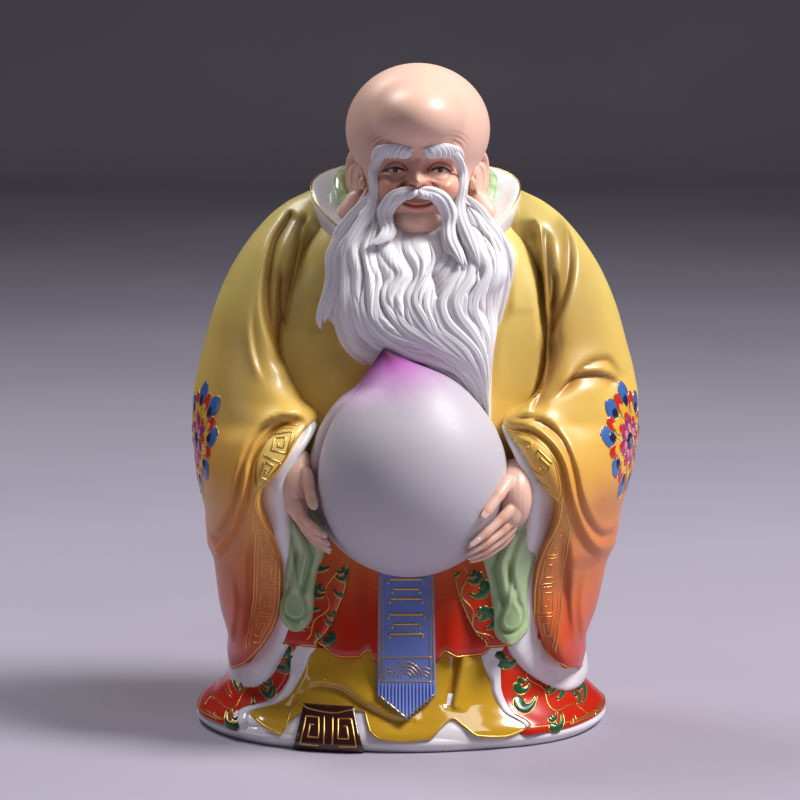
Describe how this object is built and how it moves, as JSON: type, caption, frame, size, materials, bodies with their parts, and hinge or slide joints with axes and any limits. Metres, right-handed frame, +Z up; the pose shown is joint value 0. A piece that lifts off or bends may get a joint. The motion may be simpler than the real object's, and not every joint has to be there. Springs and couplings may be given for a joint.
{
  "type": "shou lao figure",
  "caption": "Painted porcelain figure of the bald, bearded old man of long life in a wide-sleeved robe, standing and holding a giant peach in both hands",
  "frame": {"origin": "middle of the flat underside's bounding box, on the surface that the figure stands on", "axes": "+Z up, the figure faces -Y, +X is the figure's own left, the right side for a viewer in front"},
  "size_m": [0.2105, 0.1664, 0.3144],
  "materials": {
    "robe_glaze": "satin glazed porcelain, yellow above running to red below",
    "white_glaze": "glossy white glazed porcelain",
    "skirt_glaze": "glossy ochre glaze",
    "green_glaze": "glossy pale green glaze",
    "skin_bisque": "satin tinted bisque porcelain",
    "white_bisque": "matte white bisque porcelain",
    "peach_bisque": "matte white bisque with a purple tip",
    "blue_enamel": "satin periwinkle blue enamel",
    "dark_enamel": "glossy dark brown enamel",
    "color_enamel": "painted flower and scroll enamels",
    "gold": "burnished gold lines"
  },
  "bodies": {
    "root": {"figure": "robe_glaze"}
  },
  "joints": []
}
